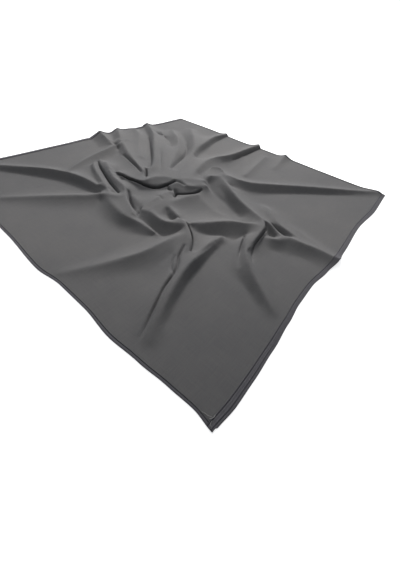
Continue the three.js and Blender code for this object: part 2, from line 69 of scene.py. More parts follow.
# Each row is one fold of the laid cloth, seen from above with the nearest corner at -Y.
# path: points x, y of its crest, or of its bottom where it is a valley
# height: heights at equal spaces along the path
# lean: how far the crest hangs over to the right of its heading
# right, left: distance to the foot on that side, height of the foot, and the shares of the path
# between which there is one, where they aren't FOOT_FROM and FOOT_TO
FOLDS = [
    # The left side
    dict(name="left band",
         path=[(-600, 40), (-430, 25), (-335, 7), (-280, -19), (-247, -42), (-221, -61), (-188, -90)],
         height=[3, 9, 12, 16, 18, 17, 11], lean=5, right=(17, 0, 0.05, 0.93)),
    dict(name="left crease", path=[(-330, 20), (-318, 94), (-312, 130)], height=[1, 0, 0]),
    dict(name="left rise", path=[(-430, -118), (-306, -108), (-215, -101)],
         height=[4, 10, 14], lean=2, right=(42, 0, 0.08, 0.8)),
    dict(name="left slope", path=[(-18, -243), (-61, -276), (-108, -310), (-179, -337), (-240, -354)],
         height=[17, 16, 13, 7, 2], lean=2),
    dict(name="left slope foot",
         path=[(-46, -303), (-56, -315), (-71, -327), (-91, -342), (-130, -358), (-168, -371),
               (-194, -379)],
         height=[8, 4, 1, 0, 0, 0, 0]),
    dict(name="back ridge", path=[(-322, 56), (-280, 118), (-232, 186), (-190, 262)],
         height=[3, 13, 18, 19], lean=3, right=(26, 4, 0.15, 0.65)),

    # The ring of folds on the left and the swags under it
    dict(name="loop", path=[(-250, 96), (-236, 62), (-216, 13), (-197, -36), (-180, -66), (-166, -92)],
         height=[16, 18, 19, 19, 18, 17], lean=3),
    dict(name="loop far side",
         path=[(-228, 70), (-214, 28), (-196, -20), (-180, -45), (-162, -70), (-150, -100)],
         height=[21, 24, 25, 25, 24, 20]),
    dict(name="loop groove",
         path=[(-258, 84), (-246, 50), (-226, 4), (-208, -38), (-194, -64), (-180, -90)],
         height=[13, 12, 12, 12, 12, 13]),
    dict(name="loop left crest",
         path=[(-262, 78), (-256, 44), (-238, 0), (-219, -38), (-203, -70), (-190, -92)],
         height=[14, 18, 18, 18, 18, 16]),
    dict(name="loop side", path=[(-272, 70), (-258, 16), (-238, -30), (-208, -76)],
         height=[7, 8, 10, 11]),
    dict(name="loop rim", path=[(-253, -93), (-221, -96), (-193, -106), (-169, -116), (-155, -104)],
         height=[6, 13, 18, 20, 20], lean=3),
    dict(name="loop inside", path=[(-208, 50), (-196, 26), (-186, 2), (-172, -22)],
         height=[16, 13, 12, 10]),
    dict(name="lower swag",
         path=[(-210, -106), (-194, -119), (-174, -154), (-150, -188), (-120, -205), (-91, -225),
               (-76, -242)],
         height=[13, 16, 17.5, 17.5, 15.5, 11, 7], lean=3),
    dict(name="swag foot",
         path=[(-214, -107), (-210, -139), (-198, -175), (-178, -199), (-158, -210), (-133, -212)],
         height=[6, 3, 1.5, 1, 2, 5]),
    dict(name="swag second foot", path=[(-137, -231), (-106, -240), (-79, -238)], height=[0, 0, 0]),
    dict(name="inner swag", path=[(-119, -160), (-90, -180), (-64, -211), (-44, -216), (-26, -221)],
         height=[15, 20, 21, 21, 20], lean=5),
    dict(name="inner foot",
         path=[(-122, -184), (-89, -214), (-77, -231), (-62, -240), (-46, -236), (-30, -228)],
         height=[8, 5, 1, 0, 3, 8]),

    # The roll and the knot in the middle
    dict(name="roll crest",
         path=[(-209, 18), (-186, 8), (-160, -14), (-132, -42), (-109, -40), (-88, -24), (-55, -20),
               (-30, -34)],
         height=[18, 22, 23, 24, 27, 29, 28, 27], lean=8),
    dict(name="roll front", path=[(-130, -48), (-104, -52), (-80, -46), (-52, -42)],
         height=[19, 20, 21, 22], lean=6),
    dict(name="roll floor",
         path=[(-184, -4), (-164, -20), (-148, -36), (-128, -54), (-102, -64), (-78, -62), (-54, -58)],
         height=[15, 14, 13, 12, 11, 11, 12]),
    dict(name="knot", path=[(-50, -60), (-32, -44), (-13, -50), (2, -60), (24, -48), (50, -34)],
         height=[17, 24, 27, 25, 22, 19], lean=6),
    dict(name="knot top", path=[(-30, -24), (-6, -22), (24, -20), (50, -8)], height=[27, 28, 25, 20]),
    dict(name="knot lip", path=[(-34, -60), (-17, -66), (4, -64), (20, -55)],
         height=[18, 19, 19, 18], lean=5),
    dict(name="crescent floor", path=[(-28, -82), (-14, -84), (6, -80), (26, -70)],
         height=[13, 14, 14, 13]),

    # The pockets in front of the roll
    dict(name="pocket lip", path=[(-157, -74), (-155, -98), (-149, -128), (-136, -160), (-128, -182)],
         height=[20, 20, 20, 19, 18]),
    dict(name="pocket", path=[(-150, -74), (-145, -98), (-138, -124), (-126, -155), (-120, -178)],
         height=[14, 11, 10, 9, 10]),
    dict(name="second pocket", path=[(-123, -178), (-119, -160), (-114, -146)], height=[6, 8, 12]),
    dict(name="facet", path=[(-137, -100), (-128, -120), (-119, -138)], height=[14, 15, 13]),
    dict(name="lobe", path=[(-45, -78), (-58, -84), (-82, -120), (-107, -148), (-117, -157)],
         height=[19, 21, 22, 19, 15]),
    dict(name="lobe end", path=[(-35, -68), (-32, -82), (-38, -100)], height=[12, 11, 12]),
    dict(name="lobe side", path=[(-40, -96), (-58, -118), (-82, -150), (-98, -172)],
         height=[16, 19, 20, 19]),
    dict(name="hollow", path=[(-57, -154), (-55, -170), (-46, -186), (-32, -196)], height=[10, 5, 4, 8]),
    dict(name="hook",
         path=[(-50, -146), (-38, -176), (-26, -200), (-17, -218), (-12, -241), (-9, -267), (-12, -290),
               (-18, -308)],
         height=[17, 20, 21, 22, 20, 18, 15, 12], lean=-6),
    dict(name="hook foot", path=[(-8, -200), (-2, -225), (3, -251), (3, -274), (-2, -298)],
         height=[14, 11, 9, 8, 10]),
    dict(name="hook top", path=[(-72, -180), (-65, -160), (-54, -137), (-33, -119), (-7, -95), (22, -78)],
         height=[15, 17, 18, 18, 17, 15]),

    # The fan of folds that runs to the back
    dict(name="back fold one", path=[(-300, 340), (-254, 258), (-236, 222)],
         height=[16, 18, 16], lean=4, right=(38, 0)),
    dict(name="back fold two", path=[(-250, 410), (-216, 282), (-216, 252)],
         height=[10, 18, 16], lean=4, right=(25, 5)),
    dict(name="back fold three", path=[(-180, 400), (-155, 320), (-150, 220), (-135, 120)],
         height=[12, 18, 18, 20]),
    dict(name="spoke one",
         path=[(-218, 262), (-200, 222), (-184, 170), (-161, 107), (-140, 56), (-122, 14)],
         height=[18, 20, 22, 25, 27, 27], lean=3),
    dict(name="spoke one foot",
         path=[(-226, 236), (-212, 190), (-194, 142), (-172, 92), (-152, 56), (-132, 20)],
         height=[4, 5, 8, 13, 18, 22]),
    dict(name="spoke two", path=[(-150, 520), (-110, 350), (-98, 187), (-95, 90), (-97, 31)],
         height=[5, 17, 24, 27, 27], lean=3),
    dict(name="spoke two foot", path=[(-168, 510), (-128, 350), (-116, 187), (-112, 110), (-110, 50)],
         height=[0, 2, 5, 9, 15]),
    dict(name="spoke four", path=[(-84, 420), (-66, 300), (-60, 180), (-62, 80), (-66, 0)],
         height=[6, 14, 22, 25, 27]),
    dict(name="valley four", path=[(-92, 380), (-66, 338), (-50, 295), (-46, 237)], height=[3, 3, 5, 9]),
    dict(name="spoke five", path=[(-40, 430), (-22, 300), (-22, 200), (-40, 110), (-50, 0)],
         height=[10, 20, 22, 24, 27]),
    dict(name="valley five",
         path=[(-6, 430), (5, 350), (11, 254), (2, 195), (-18, 135), (-33, 87), (-47, 40)],
         height=[1, 1, 1, 3, 8, 15, 21]),
    dict(name="spoke seven", path=[(34, 470), (36, 300), (28, 200), (8, 120), (-14, 50), (-24, -10)],
         height=[9, 18, 21, 22, 24, 27]),
    dict(name="spoke eight", path=[(195, 448), (120, 366), (80, 296), (50, 240), (26, 176)],
         height=[6, 15, 18, 20, 20], lean=-5),
    dict(name="spoke eight foot", path=[(190, 440), (122, 346), (84, 274), (58, 226), (34, 166)],
         height=[1, 0, 0, 2, 8]),
    dict(name="spoke nine",
         path=[(335, 372), (239, 280), (152, 192), (94, 156), (54, 106), (24, 42), (6, -12)],
         height=[7, 14, 17, 20, 21, 24, 27], lean=-4),
    dict(name="spoke nine foot",
         path=[(330, 360), (238, 262), (192, 214), (154, 173), (119, 145), (86, 104), (56, 66), (34, 30)],
         height=[1, 1, 1, 2, 4, 7, 10, 14]),
    dict(name="back streak", path=[(290, 240), (205, 110), (179, 70)], height=[4, 6, 7]),
    dict(name="edge bump", path=[(372, 258), (320, 180), (292, 143)], height=[12, 5, 2]),

    # The right side
    dict(name="peak", path=[(78, 88), (100, 60), (103, 28)], height=[20, 24, 24]),
    dict(name="diagonal", path=[(64, 22), (88, 15), (97, -5), (113, -78), (129, -129), (159, -189)],
         height=[21, 24, 26, 26, 25, 24], lean=4),
    dict(name="diagonal foot",
         path=[(58, 12), (62, -25), (80, -66), (100, -100), (115, -142), (121, -164)],
         height=[6, 1, 0, 0, 1, 4]),
    dict(name="facet line", path=[(112, -182), (126, -197), (149, -200)], height=[7, 13, 19]),
    dict(name="right ridge",
         path=[(101, 22), (122, 20), (148, 4), (190, -4), (331, 3), (457, 5), (600, 12)],
         height=[24, 20, 17, 15, 13, 9, 6], lean=5),
    dict(name="right foot", path=[(118, -14), (140, -22), (200, -26), (331, -17), (457, -14), (580, -6)],
         height=[10, 1, 0, 0, 0, 1]),
    dict(name="soft trough", path=[(30, -88), (54, -128), (82, -160)], height=[9, 3, 5]),
    dict(name="rise side", path=[(180, -122), (183, -160), (184, -184)], height=[6, 6, 9]),
    dict(name="thin rise",
         path=[(192, -96), (199, -124), (199, -154), (199, -180), (208, -202), (230, -236)],
         height=[3, 11, 14, 14, 13, 11]),
    dict(name="streak", path=[(240, -190), (278, -262), (300, -296)], height=[4, 6, 7]),

    # The folds that run to the nearest corner
    dict(name="bench", path=[(-14, -213), (30, -207), (81, -201), (112, -206), (142, -211)],
         height=[19, 18, 20, 21, 22], lean=3),
    dict(name="bench foot",
         path=[(10, -228), (40, -230), (72, -236), (92, -246), (106, -240), (118, -232)],
         height=[6, 1, 0, 0, 1, 5]),
    dict(name="stem",
         path=[(163, -199), (161, -220), (147, -244), (130, -265), (115, -284), (104, -304), (100, -328),
               (103, -365), (112, -406), (125, -447)],
         height=[23, 23, 22, 21, 20, 19, 17, 14, 9, 2], lean=-6),
    dict(name="stem right",
         path=[(173, -199), (172, -216), (160, -238), (144, -261), (131, -280), (123, -298), (116, -318)],
         height=[12, 8, 7, 6, 6, 6, 8]),
    dict(name="stem shoulder", path=[(126, -242), (114, -262), (106, -286), (99, -308)],
         height=[17, 18, 18, 17]),
    dict(name="stem left",
         path=[(110, -242), (99, -263), (90, -286), (82, -312), (77, -337), (79, -360), (88, -390),
               (102, -433)],
         height=[9, 8, 7, 5, 2, 0, 0, 0]),
    dict(name="fork", path=[(163, -193), (177, -199), (187, -217), (194, -241)], height=[22, 18, 15, 13]),
    dict(name="fork left", path=[(174, -204), (178, -215), (182, -226), (186, -238)],
         height=[7, 2, 0, 1]),
    dict(name="fork left side", path=[(171, -214), (174, -228)], height=[3, 0]),
    dict(name="fork right", path=[(190, -198), (201, -211), (212, -223), (224, -238)],
         height=[9, 2, 0, 5]),
    dict(name="hem ridge",
         path=[(155, -243), (174, -252), (192, -255), (213, -251), (235, -268), (262, -284), (304, -318)],
         height=[9, 14, 16, 16, 15, 14, 13], lean=4),
    dict(name="hem foot", path=[(166, -276), (190, -288), (224, -300), (258, -330)], height=[0, 0, 0, 0]),
    dict(name="long ridge",
         path=[(64, -240), (28, -283), (3, -320), (-20, -352), (-38, -387), (-56, -428), (-70, -466),
               (-80, -494)],
         height=[8, 15, 19, 21, 20, 17, 10, 3], lean=-4, left=(13, 0, 0.05, 0.88)),
    dict(name="long foot",
         path=[(-26, -282), (-36, -304), (-42, -328), (-46, -350), (-57, -377), (-67, -402), (-77, -432),
               (-87, -462), (-97, -492)],
         height=[14, 12, 10, 9, 9, 9, 7, 4, 0]),
]

# A crease goes down and away from the nearest corner, in under its fold, or straight down.
UNDER = (0.1, 0.62, -0.78)
DOWN = (0, 0, -1)

# Each row is one narrow crease or ridge on the folds, placed as seen from above.
# depth: how far it goes into the cloth, at equal spaces along the path, less than 0 for a ridge
# width: distance from its middle to where it fades
# heading: which way it goes, DOWN where none is given
CREASES = [
    dict(name="groove",
         path=[(-255, 88), (-243, 54), (-222, 6), (-204, -34), (-190, -60), (-176, -86), (-170, -98)],
         depth=[2, 8, 11, 11, 10, 8, 3], width=3),
    dict(name="roll line",
         path=[(-190, 9), (-173, -7), (-153, -25), (-134, -41), (-110, -53), (-86, -56), (-62, -48),
               (-44, -39), (-32, -31)],
         depth=[2, 7, 11, 13, 15, 15, 15, 13, 6], width=3.2, heading=UNDER),
    dict(name="crescent", path=[(-40, -72), (-21, -80), (2, -77), (19, -68), (36, -50)],
         depth=[6, 14, 15, 13, 3], width=3, heading=UNDER),
    dict(name="pit", path=[(-116, 46), (-114, 19), (-111, -18)], depth=[6, 18, 8], width=3),
    dict(name="pocket", path=[(-153, -74), (-149, -98), (-142, -126), (-130, -157), (-123, -182)],
         depth=[5, 13, 11, 6, 3], width=3.8),
    dict(name="second pocket", path=[(-123, -180), (-119, -162), (-113, -146)], depth=[2, 5, 2], width=3),
    dict(name="lobe end", path=[(-37, -60), (-35, -80), (-42, -100)], depth=[5, 10, 4], width=3),
    dict(name="lobe crease", path=[(-84, -96), (-76, -106), (-66, -124)], depth=[1.5, 2, 1], width=3),
    dict(name="knot crease", path=[(-56, -48), (-52, -60), (-44, -70)], depth=[4, 8, 4], width=2.5),
    dict(name="knot fold", path=[(-40, -30), (-24, -38), (-8, -56)], depth=[3, 5, 3], width=3),
    dict(name="diagonal crease", path=[(84, -20), (102, -86), (120, -126)], depth=[1, 2.5, 1], width=6),
    dict(name="stem line",
         path=[(170, -196), (168, -215), (155, -236), (139, -258), (126, -277), (118, -296), (112, -316),
               (108, -336)],
         depth=[4, 9, 10, 10, 8, 5, 3, 1], width=3),
    dict(name="stem crease", path=[(116, -236), (105, -261), (96, -286), (88, -312), (82, -340)],
         depth=[3, 9, 8, 4, 0.5], width=2.8),
    dict(name="hook line", path=[(-16, -206), (-8, -225), (-3, -251), (-4, -274), (-10, -304)],
         depth=[3, 9, 10, 9, 5], width=2.8),
    dict(name="long crease",
         path=[(-20, -280), (-28, -300), (-33, -315), (-35, -334), (-38, -348), (-44, -363), (-52, -377),
               (-60, -393), (-67, -412), (-78, -443), (-85, -463), (-94, -490)],
         depth=[1, 6, 7, 6, 7, 8, 8, 8, 8, 6, 4, 0.3], width=2.5),
    dict(name="toe crease", path=[(-38, -308), (-45, -326), (-47, -346), (-42, -362)],
         depth=[1, 3, 3, 1], width=2.6),
    dict(name="fork crease", path=[(184, -186), (194, -200), (205, -216), (214, -232)],
         depth=[1, 5, 6, 3], width=3),
    dict(name="spoke five line", path=[(8, 300), (10, 250), (2, 195), (-18, 135), (-33, 87), (-50, 34)],
         depth=[1, 4, 7, 7, 5, 1], width=4.5),
    dict(name="peak fold", path=[(82, 88), (97, 68), (104, 44)], depth=[-1, -3, -1], width=3),
    dict(name="peak crease", path=[(90, 86), (104, 70), (112, 46)], depth=[1, 3, 1], width=3),
    dict(name="spoke two line", path=[(-124, 330), (-110, 187), (-105, 110), (-106, 50)],
         depth=[2, 7, 9, 6], width=5),
    dict(name="spoke one line", path=[(-192, 150), (-164, 92), (-143, 50), (-124, 6)],
         depth=[2, 5, 6, 3], width=3.5),
    dict(name="spoke three line", path=[(-78, 190), (-76, 80), (-75, 20)], depth=[1, 3, 1], width=3.5),
    dict(name="spoke nine line", path=[(305, 330), (239, 264), (192, 216), (156, 176)],
         depth=[3, 4, 4, 2], width=3.5, heading=UNDER),
    dict(name="ridge line", path=[(46, -262), (17, -299), (-5, -325)], depth=[1, 2.2, 1], width=2.6),
]

# Waves of the outline. Each point is a share of the side's length and the shift outward there.
# The sides follow each other anticlockwise from the nearest corner, and so do their points.
SIDES = dict(
    front_right=[(0, 0), (0.05, 4), (0.1, 3), (0.17, 0), (0.24, -5), (0.3, -10), (0.37, -11), (0.44, -4),
                 (0.49, 3), (0.54, 0), (0.7, -6), (0.85, 3), (1, 0)],
    back_right=[(0, 0), (0.12, -3), (0.25, -1), (0.35, 2), (0.5, 0), (0.62, -4), (0.8, 4), (1, 0)],
    back_left=[(0, 0), (0.14, -3), (0.28, 5), (0.42, -2), (0.52, 6), (0.64, 0), (0.8, -3), (1, 0)],
    front_left=[(0, 0), (0.2, -6), (0.4, 0), (0.55, 7), (0.62, -1), (0.7, -1), (0.78, 5), (0.85, 1),
                (0.91, -3), (0.96, -5), (1, 0)],
)
HEM_WIDTHS = dict(front_right=WIDE_HEM, back_right=NARROW_HEM, back_left=WIDE_HEM, front_left=NARROW_HEM)

# The camera, in the photograph's frame of 400 by 570
FRAME_HEIGHT = 570
FOCAL_PIXELS = 252.45
SENSOR = 36
CAMERA_PLACE = Vector((-53.9, -682.1, 333.7)) * MM
CAMERA_FORWARD = Vector((0.12738, 0.66707, -0.73402))
CAMERA_RIGHT = Vector((0.99184, -0.08129, 0.09825))


def make_camera():
    data = bpy.data.cameras.new("camera")
    data.sensor_fit = "VERTICAL"
    data.sensor_height = SENSOR
    data.lens = SENSOR * FOCAL_PIXELS / FRAME_HEIGHT
    data.clip_start = 0.01
    camera = bpy.data.objects.new("camera", data)
    back = -CAMERA_FORWARD.normalized()
    right = CAMERA_RIGHT.normalized()
    up = back.cross(right).normalized()
    turn = Matrix((right, up, back)).transposed().to_4x4()
    camera.matrix_world = Matrix.Translation(CAMERA_PLACE) @ turn
    bpy.context.collection.objects.link(camera)
    bpy.context.scene.camera = camera


make_camera()

# The settled cloth
HALF_DIAGONAL = LAID_SIDE / math.sqrt(2)
POINTS = round(LAID_SIDE / GRID_STEP) + 1
STEP = LAID_SIDE / (POINTS - 1)
FINE_POINTS = 2 * POINTS - 1


def laid_place(s, t):
    """Place of the laid cloth from the distances along the front right and front left sides."""
    return (s - t) / math.sqrt(2), (s + t) / math.sqrt(2) - HALF_DIAGONAL


def side_place(x, y):
    rise = y + HALF_DIAGONAL
    return (x + rise) / math.sqrt(2), (rise - x) / math.sqrt(2)


def place_on_side(side, along, inward):
    """Place of a point from its side, its distance along it and its distance in from it."""
    if side == "front_right":
        return along, inward
    if side == "back_right":
        return LAID_SIDE - inward, along
    if side == "back_left":
        return LAID_SIDE - along, LAID_SIDE - inward
    return inward, LAID_SIDE - along


def smooth(share):
    share = np.clip(share, 0, 1)
    return share * share * (3 - 2 * share)


def smooth_curve(points, at):
    """Values of a smooth curve through points, at numbers from 0 to the last point's."""
    points = np.array(points, float)
    padded = np.concatenate([[2 * points[0] - points[1]], points, [2 * points[-1] - points[-2]]])
    span = np.clip(np.floor(at).astype(int), 0, len(points) - 2)
    u = at - span
    if points.ndim == 2:
        u = u[:, None]
    a, b, c, d = (padded[span + k] for k in range(4))
    return 0.5 * (2 * b + (c - a) * u + (2 * a - 5 * b + 4 * c - d) * u**2 + (3 * b - a - 3 * c + d) * u**3)


def path_points(path):
    """Points at small steps along a path, with their headings and distances from its start."""
    path = np.array(path, float)
    at = []
    for span, length in enumerate(np.linalg.norm(np.diff(path, axis=0), axis=1)):
        steps = max(2, int(length / LINE_STEP))
        at.extend(span + np.arange(steps) / steps)
    at.append(len(path) - 1)
    points = smooth_curve(path, np.array(at))
    run = np.concatenate([[0], np.cumsum(np.linalg.norm(np.diff(points, axis=0), axis=1))])
    numbers = np.arange(len(points))
    before = points[np.maximum(numbers - HEADING_SPAN, 0)]
    after = points[np.minimum(numbers + HEADING_SPAN, len(points) - 1)]
    heading = after - before
    heading /= np.linalg.norm(heading, axis=1)[:, None]
    return points, heading, run


def fold_lines(fold):
    """The crest line and foot lines of a fold: places in the cloth, heights and sideways shifts."""
    points, heading, run = path_points(fold["path"])
    share = run / run[-1]
    height = np.maximum(smooth_curve(fold["height"], share * (len(fold["height"]) - 1)), 0)
    right = np.stack([heading[:, 1], -heading[:, 0]], axis=1)
    lean = fold.get("lean", 0) * smooth(np.minimum(run, run[-1] - run) / LEAN_TAPER)
    shift = right * lean[:, None]
    lines = [(points - shift, height, shift)]
    for side, direction in (("right", 1), ("left", -1)):
        if side not in fold:
            continue
        reach, level, start, end = (*fold[side], FOOT_FROM, FOOT_TO)[:4]
        kept = (share > start) & (share < end)
        foot = points[kept] + direction * reach * right[kept]
        lines.append((foot, np.minimum(level, height[kept]), np.zeros_like(foot)))
    return lines


def side_shift(waves, share):
    """Outward shift of a side at shares of its length."""
    waves = np.array(waves, float)
    row = np.clip(np.searchsorted(waves[:, 0], share, side="right") - 1, 0, len(waves) - 2)
    part = (share - waves[row, 0]) / (waves[row + 1, 0] - waves[row, 0])
    return waves[row, 1] + (waves[row + 1, 1] - waves[row, 1]) * smooth(part)


def fixed_points():
    """Heights and shifts that the folds and the outline fix, over the settling grid."""
    fixed_height = np.zeros((POINTS, POINTS), bool)
    values = np.zeros((3, POINTS, POINTS))
    for fold in FOLDS:
        for places, height, shift in fold_lines(fold):
            s, t = side_place(places[:, 0], places[:, 1])
            i = np.rint(s / STEP).astype(int)
            j = np.rint(t / STEP).astype(int)
            inside = (i >= 0) & (i < POINTS) & (j >= 0) & (j < POINTS)
            count = np.zeros((POINTS, POINTS))
            np.add.at(count, (i[inside], j[inside]), 1)
            hit = count > 0
            sums = np.zeros((3, POINTS, POINTS))
            for k, value in enumerate((height, shift[:, 0], shift[:, 1])):
                np.add.at(sums[k], (i[inside], j[inside]), value[inside])
            mean = sums / np.maximum(count, 1)
            wins = hit & (~fixed_height | (mean[0] > values[0]))
            values[:, wins] = mean[:, wins]
            fixed_height |= wins
    fixed_shift = fixed_height.copy()
    along = np.arange(POINTS) * STEP
    for side, waves in SIDES.items():
        s, t = place_on_side(side, along, np.zeros(POINTS))
        inner_s, inner_t = place_on_side(side, along, np.ones(POINTS))
        out_x = ((s - inner_s) - (t - inner_t)) / math.sqrt(2)
        out_y = ((s - inner_s) + (t - inner_t)) / math.sqrt(2)
        i = np.rint(s / STEP).astype(int)
        j = np.rint(t / STEP).astype(int)
        shift = side_shift(waves, along / LAID_SIDE)
        values[1, i, j] = shift * out_x
        values[2, i, j] = shift * out_y
        fixed_shift[i, j] = True
    return values, fixed_height, fixed_shift


def settle(values, fixed, pull, spring, lowest):
    """Lets the free points of one value settle between the fixed ones."""
    rows, columns = np.meshgrid(np.arange(POINTS), np.arange(POINTS), indexing="ij")
    colours = [~fixed & ((rows + columns) % 2 == k) for k in (0, 1)]
    for _ in range(PASSES):
        for free in colours:
            near = np.pad(values, 1, mode="edge")
            total = near[:-2, 1:-1] + near[2:, 1:-1] + near[1:-1, :-2] + near[1:-1, 2:]
            rest = (total - pull) / (4 + spring)
            moved = np.maximum(values + OVERSTEP * (rest - values), lowest)
            values[free] = moved[free]


def rounded(values, width):
    """Rounds a value over the grid with a bell curve of the given width."""
    reach = int(3 * width / STEP) + 1
    weights = np.exp(-0.5 * (np.arange(-reach, reach + 1) * STEP / width) ** 2)
    weights /= weights.sum()
    for _ in range(2):
        padded = np.pad(values, ((reach, reach), (0, 0)), mode="edge")
        values = sum(weight * padded[k:k + POINTS] for k, weight in enumerate(weights)).T
    return values


def settled_cloth():
    values, fixed_height, fixed_shift = fixed_points()
    spring = (STEP / DRAG_REACH) ** 2
    settle(values[0], fixed_height, SAG * STEP * STEP, 0, 0)
    settle(values[1], fixed_shift, 0, spring, -math.inf)
    settle(values[2], fixed_shift, 0, spring, -math.inf)
    return rounded(values[0], FOLD_ROUND), rounded(values[1], DRAG_ROUND), rounded(values[2], DRAG_ROUND)


CLOTH = settled_cloth()


def grid_value(values, s, t):
    """Value at a place in the cloth, between the points of a grid over it."""
    last = len(values) - 1
    u = np.clip(s / LAID_SIDE, 0, 1) * last
    v = np.clip(t / LAID_SIDE, 0, 1) * last
    i = np.minimum(np.floor(u).astype(int), last - 1)
    j = np.minimum(np.floor(v).astype(int), last - 1)
    a = u - i
    b = v - j
    if values.ndim == 3:
        a = a[:, None]
        b = b[:, None]
    front = values[i, j] * (1 - b) + values[i, j + 1] * b
    back = values[i + 1, j] * (1 - b) + values[i + 1, j + 1] * b
    return front * (1 - a) + back * a


def grid_normals(places):
    along_s, along_t = np.gradient(places, axis=(0, 1))
    normal = np.cross(along_s, along_t)
    return normal / np.linalg.norm(normal, axis=2)[:, :, None]


def nearest_points(u, v, s, t):
    """For each place u, v the number of the nearest point of a line s, t and its distance."""
    nearest = np.zeros(u.shape, int)
    distance = np.full(u.shape, math.inf)
    for number in range(len(s)):
        apart = np.hypot(u - s[number], v - t[number])
        closer = apart < distance
        distance[closer] = apart[closer]
        nearest[closer] = number
    return nearest, distance


def crease_moves(step):
    """How the creases move the cloth, over the fine grid."""
    moves = np.zeros((FINE_POINTS, FINE_POINTS, 3))
    for crease in CREASES:
        seen, _, run = path_points(crease["path"])
        share = run / run[-1]
        depth = smooth_curve(crease["depth"], share * (len(crease["depth"]) - 1))
        depth *= smooth(np.minimum(run, run[-1] - run) / (CREASE_TAPER * crease["width"]))
        places = seen.copy()
        for _ in range(SEEK_PASSES):
            s, t = side_place(places[:, 0], places[:, 1])
            places[:, 0] = seen[:, 0] - grid_value(CLOTH[1], s, t)
            places[:, 1] = seen[:, 1] - grid_value(CLOTH[2], s, t)
        s, t = side_place(places[:, 0], places[:, 1])
        reach = int(CREASE_REACH * crease["width"] / step)
        low_i = max(int(s.min() / step) - reach, 0)
        high_i = min(int(s.max() / step) + reach, FINE_POINTS - 1)
        low_j = max(int(t.min() / step) - reach, 0)
        high_j = min(int(t.max() / step) + reach, FINE_POINTS - 1)
        i, j = np.meshgrid(np.arange(low_i, high_i + 1), np.arange(low_j, high_j + 1), indexing="ij")
        nearest, distance = nearest_points(i * step, j * step, s, t)
        amount = depth[nearest] * np.exp(-((distance / crease["width"]) ** 2))
        heading = np.array(crease.get("heading", DOWN))
        moves[low_i:high_i + 1, low_j:high_j + 1] += amount[:, :, None] * heading
    return moves


def halved(values):
    """The value at half the step."""
    fine = np.zeros((2 * len(values) - 1, 2 * len(values) - 1))
    fine[::2, ::2] = values
    fine[1::2, ::2] = (values[1:] + values[:-1]) / 2
    fine[:, 1::2] = (fine[:, 2::2] + fine[:, :-2:2]) / 2
    return fine


def cloth_places():
    """Places of the cloth's underside over a grid of half the step, folds and creases together."""
    fine = STEP / 2
    s, t = np.meshgrid(np.arange(FINE_POINTS) * fine, np.arange(FINE_POINTS) * fine, indexing="ij")
    x, y = laid_place(s, t)
    places = np.stack([x + halved(CLOTH[1]), y + halved(CLOTH[2]), halved(CLOTH[0])], axis=2)
    places += crease_moves(fine)
    places[:, :, 2] = np.maximum(places[:, :, 2], 0)
    return places


PLACES = cloth_places()
NORMALS = grid_normals(PLACES)


def cloth_point(s, t, height):
    """Points at a height over the underside, square to the cloth there."""
    normal = grid_value(NORMALS, s, t)
    normal /= np.linalg.norm(normal, axis=1)[:, None]
    return grid_value(PLACES, s, t) + normal * np.asarray(height)[:, None]


# Meshes
BASE_CELLS = 54              # cells along each side of the panel before any is split
SPLITS = 4                   # how often a cell may be halved
BEND_LIMIT = 0.29            # how far a cell may stand off the curved cloth, in mm
PANEL_TUCK = 0.8             # how far the panel runs on under the hems
HEM_STEP = 2                 # spacing of a hem's points along it
HEM_ROW = 0.5                # and across it

# Sewing of the hems, from the inner border outward
BORDER_HEIGHT = 0.7          # of the hem's top at its inner border
BORDER_RISE = 0.9            # the inner border rides over the turned edge
BORDER_WIDTH = 1.1
STITCH_LINE = 1.9            # distance of the stitching from the inner border
STITCH_PULL = 0.8            # how far the stitching pulls the cloth down
STITCH_WIDTH = 0.8
EDGE_SHARE = 0.45            # height of the folded outer edge, as a share of the hem's
EDGE_ROUND = 1.1
PUCKER = 0.16
PUCKER_LENGTH = 9
PUCKER_FADE = 2
SECOND_RIDGE = 5             # a second turned edge near the nearest corner, from the outer edge
SECOND_GROOVE = 1.6          # the groove beside it is this much nearer to the outer edge
SECOND_RISE = 0.55
SECOND_WIDTH = 0.9
SECOND_REACH = (120, 190)    # distances from the corner between which it fades away
NOTCH_LENGTH = 6             # the wide hem ends a little short of the corner's tip
NOTCH_FADE = 1.5
NOTCH_DEPTH = 1.6

# Thread
STITCH = 2.6                 # length of a stitch
STITCH_PITCH = 3.5
STITCH_MARGIN = 4            # from the end of a hem to its first stitch
STITCH_ARCH = 0.1            # how much a stitch's middle stands over its ends
THREAD = 0.28                # half the thread's thickness
THREAD_SIDES = 6
LOOSE_THREAD = 1.3           # thickness of a loose end, as a share of a stitch's
LOOSE_TIP = 0.4              # and of its tips, as a share of its own
LOOSE_POINTS = 14

# Points along a stitch: place as a share of its length, and thickness as a share of its middle's
STITCH_PROFILE = [(-0.5, 0.15), (-0.4, 0.8), (0, 1), (0.4, 0.8), (0.5, 0.15)]


